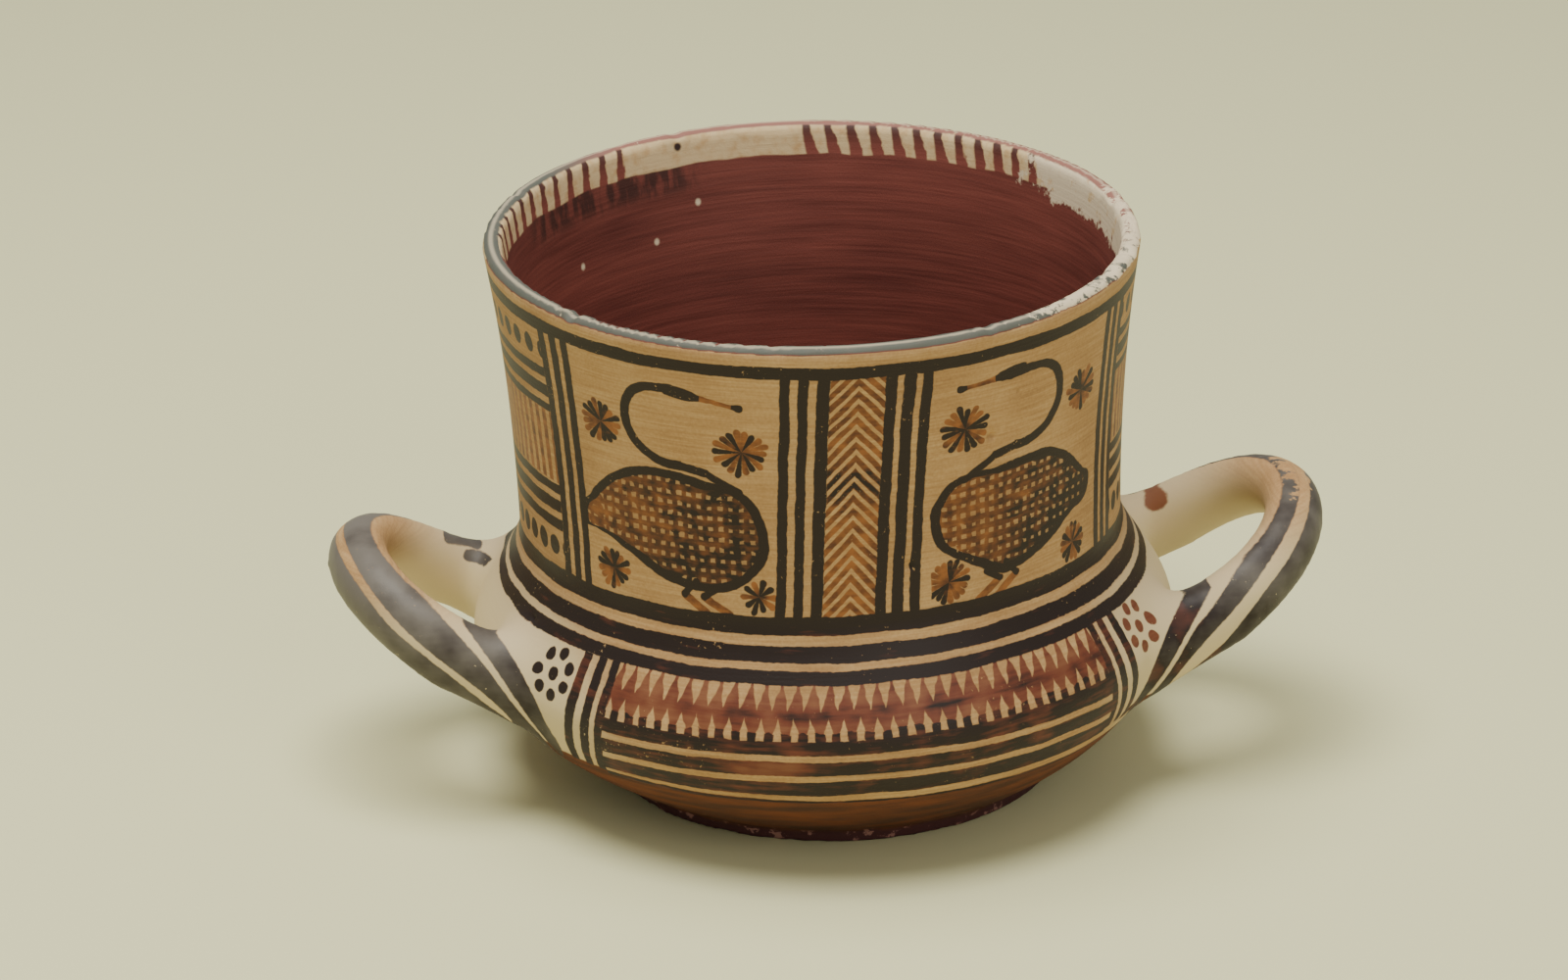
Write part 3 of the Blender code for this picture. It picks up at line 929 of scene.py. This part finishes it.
def belly_painting():
    """The belly and the handles: bands, a panel of tongues over stripes, and the wash below."""
    art = Painting("painted_belly")
    u, z = art.hand_places()
    tilt = art.azimuth.sine()
    side = u.size()
    standing = Field(art.tree, art.attribute("standing_out").outputs["Fac"])
    on_wall = 1.2 - standing * MM
    level = z + tilt * SHOULDER_TILT
    dark = level.stripe(*SHOULDER_BAND)
    dark = dark.most(level.stripe(44.95, 1.45), level.stripe(41.2, 1.1))
    dark = dark.least(on_wall)

    low = (40 - z).most(0.0)
    upright = side - low * low * 0.0055
    stripes = upright.stripe(46.5, 0.85).most(upright.stripe(49.4, 0.95))
    stripes = stripes.most(upright.stripe(53.0, 1.05))
    dark = dark.most(stripes.least(40.5 - z, z - 18.5))

    paint, teeth = tongue_panel(art, u, z, upright)
    panel = TONGUES_END - upright
    falling = z + tilt.most(0.0) * 1.4
    reserved = ((falling - 27.8).size() - 0.66).least((falling - 23.4).size() - 0.68)
    last = z + tilt * 1.5
    last_line = (last - 18.1).size() - (0.90 - tilt.least(0.0).size() * 0.7)
    striped = panel.least(31.0 - z, last - 16.6, reserved, last_line)
    dark = dark.most(striped, teeth)

    along, height, loop, right = loop_places(art)
    rear = art.y.over(0)
    handles = handle_paint(along, height, loop, right, rear)
    handles = handles.least(side - HANDLE_PAINT_START, z - 15.5)
    dark_touches, red_patch = root_touches(along, height, loop, right, rear)
    handles = handles.most(dark_touches, red_patch)
    dots = dot_rosette(u, z).least(on_wall)

    wash = (19.4 - z).least((18.6 - last).most(side - 54)).least(last_line.most(side - 62))
    edge = (art.noise(0.9, 2) - 0.5) * 0.4
    dark_cover = soft_edge(dark + edge)
    handle_cover = soft_edge(handles + edge, 0.16)
    dots_cover = soft_edge(dots + edge)
    cover = dark_cover.most(soft_edge(paint + edge), handle_cover, dots_cover)
    blotches = art.noise(0.16, 2)
    rubbed = (along - 35).most(0.0) * 0.06 * right * height.rising(0.0, 3.0)
    handle_worn = (art.noise(0.35, 4, roughness=0.6) + rubbed).rising(0.69, 0.78)
    on_handle = (side - HANDLE_PAINT_START).rising(0, 0.5) * handle_cover
    cover = cover * (1 - handle_worn * on_handle)

    red_spot = 1 - polar((u + 17) * 0.10, (z - 25.6) * 0.36)[0].rising(0.1, 1.2)
    middle_streak = (z.stripe(35.5, 1.9) / 1.9).most(0.0) * 0.22
    thin = 0.24 + (blotches - 0.5) * 1.1 + (u / 46).most(0.0) * 0.16 + middle_streak
    above = z.rising(38, 42)
    thick = 0.72 + above * 0.12 + (blotches - 0.5) * (0.7 - above * 0.45) - red_spot * 0.42
    thickness = thin + (thick - thin) * dark_cover
    thickness = thickness + ((0.85 - right * 0.55) - thickness) * dots_cover
    redness = (art.noise(0.12, 3) - 0.5) * 0.6
    greyer = (along / 36).most(0.0) * 0.20 - right * 0.18
    for_handles = 0.74 + greyer + redness - soft_edge(red_patch + 0.2, 0.3) * 0.42

    washed = art.mix(art.noise(0.5, 3, (0.12, 0.12, 1.0)).rising(0.3, 0.75), WASH_DARK, BELLY_WASH)
    foot_worn = art.noise(0.35, 4, roughness=0.65).rising(0.56, 0.62)
    foot = art.mix(foot_worn, FOOT_PAINT, FOOT_WORN)
    washed = art.mix((z + (blotches - 0.5) * 3).rising(2.0, 3.6), foot, washed)
    under = art.mix(soft_edge(wash + edge, 0.2), art.bare_clay(), washed)
    turned = 1 - (side - HANDLE_PAINT_START).rising(0, 4) * (1 - on_wall.rising(0.0, 1.0))
    bowl_paint = art.ramp(art.brush_level(thickness, 1.4), RED_STOPS)
    handle_paints = art.ramp(art.brush_level(for_handles, 0.15), HANDLE_STOPS)
    art.finish(cover, art.mix(on_handle, bowl_paint, handle_paints), under, turned)
    return art.material


def lip_strokes(behind, z, uneven):
    """Short upright strokes in the pale band inside the lip, in two groups at the back."""
    fat = 1.05 - (z - 104) * 0.08 + (uneven - 0.5) * 0.6
    wander = behind + (uneven - 0.5) * 1.2
    left = fat * 0.85 - (wander + (z - 104) * 0.12).repeat(4.6, 0.8).size()
    right = fat - (wander - (z - 104) * 0.25).repeat(4.4, 1.2).size()
    left = left.least(behind.stripe(238.0, 26.5))
    right = right.least(behind.stripe(148.0, 26.0))
    return left.most(right)


def inside_painting():
    """The inside's red-brown paint with wheel lines, the pale band with strokes, the lip.

    The paint has a few pale flecks at the back; a small hole in the band is painted shade.
    """
    art = Painting("painted_inside")
    uneven = art.noise(0.12, 2)
    z = art.z + (uneven - 0.5) * 1.2
    behind = art.azimuth * degrees(1)
    behind = behind.sum("WRAP", behind, 360.0, 0.0)
    wheel = art.noise(1.6, 3, (0.03, 0.03, 1.0))
    depth = art.noise(0.05, 3, (0.5, 0.5, 1.6))
    inner = art.ramp(wheel * 0.5 + depth * 0.6, [(0.36, INNER_DARK), (0.72, INNER_PAINT)])
    blackened = behind.stripe(219, 27).rising(0, 9) * z.rising(95.0, 98.5)
    blackened = blackened * art.noise(0.5, 3, (1, 1, 0.3)).rising(0.36, 0.60)
    inner = art.mix(blackened * 0.8, inner, INNER_BLACK)

    strokes = lip_strokes(behind, z, art.noise(0.5, 2))
    front = behind.stripe(179, 94)
    pale = (z - 101.3).least(106.9 - art.z, front)
    clay = art.mix(art.noise(0.5, 3).rising(0.2, 0.6), PALE_BUFF, PALE_CLAY)
    brushed = art.mix(z.rising(101.5, 108.0), INNER_PAINT, INNER_BLACK)
    band = art.mix(soft_edge(strokes, 0.25), clay, brushed)
    colour = art.mix(soft_edge(pale, 0.2), inner, band)

    flaking = art.noise(0.30, 5, roughness=0.68)
    near = behind.stripe(90, 42).rising(-6, 14) * z.rising(95.5, 101.5)
    worn = (near * 0.42 + flaking * 0.9).rising(0.74, 0.84)
    colour = art.mix(worn, colour, WORN_CLAY_AND_HIGHLIGHT)
    for place, level in ((226, 88.0), (206, 88.0), (196, 94.0)):
        fleck = 0.55 - polar(behind - place, (art.z - level) * 0.9)[0]
        colour = art.mix(soft_edge(fleck, 0.3), colour, WORN_CLAY_AND_HIGHLIGHT)
    # Painted shade: a small black spot that stands for a small hole in the band
    hole_shade = 0.8 - polar((behind - 199.3) * 1.06, art.z - 105.0)[0]
    colour = art.mix(soft_edge(hole_shade, 0.3), colour, INNER_BLACK)

    # Bare clay outside the lip's crest, and round the widest part of the belly's inner wall
    outward = (polar(art.x, art.y)[0] - 60.5).rising(-0.3, 0.5)
    lip = art.z - 106.6 + outward * 0.6 + (uneven - 0.5) * 0.5
    outer_clay = outward.least(lip * -1) - 0.2
    colour = art.mix(soft_edge(outer_clay), colour, art.bare_clay())
    pinkness = behind.stripe(150, 72).rising(-12, 14)
    lip_paint = art.mix((pinkness + flaking * 0.3 - 0.15).most(0.0), LIP_GREY, LIP_PINK)
    # Painted highlight: a pale line along the lip's crest, mixed in worn clay's colour with the
    # lip's real wear
    crest_highlight = 1 - (polar(art.x, art.y)[0] - 60.6).size().rising(0.1, 0.7)
    right_front = behind.stripe(68, 36).rising(-10, 10)
    lip_worn = (flaking + right_front * 0.24).rising(0.66, 0.74)
    lip_paint = art.mix((lip_worn + crest_highlight * 0.45).least(0.9), lip_paint, WORN_CLAY_AND_HIGHLIGHT)
    colour = art.mix(soft_edge(lip, 0.15), colour, lip_paint)
    art.tree.links.new(colour, art.shader.inputs["Base Color"])
    art.shader.inputs["Roughness"].default_value = 0.60
    art.surface_grain(1.0)
    return art.material


def set_camera():
    """The photograph's camera: 32 cm over the lip's level, about a metre away."""
    place = Vector((-129.2, -919.4, 426.4)) / MM
    forward = Vector((0.1207, 0.9201, -0.3727))
    lens = bpy.data.cameras.new("camera")
    lens.lens = 119.25
    lens.sensor_width = 36.0
    lens.sensor_fit = "HORIZONTAL"
    camera = bpy.data.objects.new("camera", lens)
    camera.location = place
    camera.rotation_euler = forward.to_track_quat("-Z", "Y").to_euler()
    bpy.context.collection.objects.link(camera)
    bpy.context.scene.camera = camera


def set_floor():
    """A plain pale floor."""
    bpy.ops.object.select_all(action="DESELECT")
    bpy.ops.mesh.primitive_plane_add(size=6.0, location=(0, 0, 0))
    floor = bpy.context.active_object
    floor.name = "floor"
    pale = bpy.data.materials.new("pale_floor")
    pale.use_nodes = True
    surface = pale.node_tree.nodes["Principled BSDF"]
    surface.inputs["Base Color"].default_value = shade(220, 218, 170)
    surface.inputs["Roughness"].default_value = 0.7
    floor.data.materials.append(pale)


def soft_light(name, place, size, power, colour):
    """A large soft lamp that faces the cup."""
    lamp = bpy.data.lights.new(name, "AREA")
    lamp.shape = "DISK"
    lamp.size = size
    lamp.energy = power
    lamp.color = colour
    holder = bpy.data.objects.new(name, lamp)
    holder.location = place
    towards = Vector((0, 0, 0.05)) - Vector(place)
    holder.rotation_euler = towards.to_track_quat("-Z", "Y").to_euler()
    bpy.context.collection.objects.link(holder)


def set_light():
    """Soft light from above, a weaker one from the front, and pale surroundings."""
    soft_light("above", (-0.15, -0.10, 1.15), 0.8, 19.0, (1.0, 0.98, 0.93))
    soft_light("front", (0.5, -1.1, 0.7), 0.8, 4.0, (1.0, 0.97, 0.93))
    world = bpy.data.worlds.new("surroundings")
    world.use_nodes = True
    backdrop = world.node_tree.nodes["Background"]
    backdrop.inputs["Color"].default_value = (0.80, 0.80, 0.74, 1.0)
    backdrop.inputs["Strength"].default_value = 0.50
    bpy.context.scene.world = world


def main():
    """Dress the frame, then set the stage round it."""
    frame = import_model()
    bpy.ops.object.select_all(action="DESELECT")
    cup = throw_cup(frame["nodes"]["cup"])
    for material in (neck_painting(), belly_painting(), inside_painting()):
        cup.data.materials.append(material)
    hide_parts("cup")
    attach(cup, "root")
    set_camera()
    set_floor()
    set_light()


main()
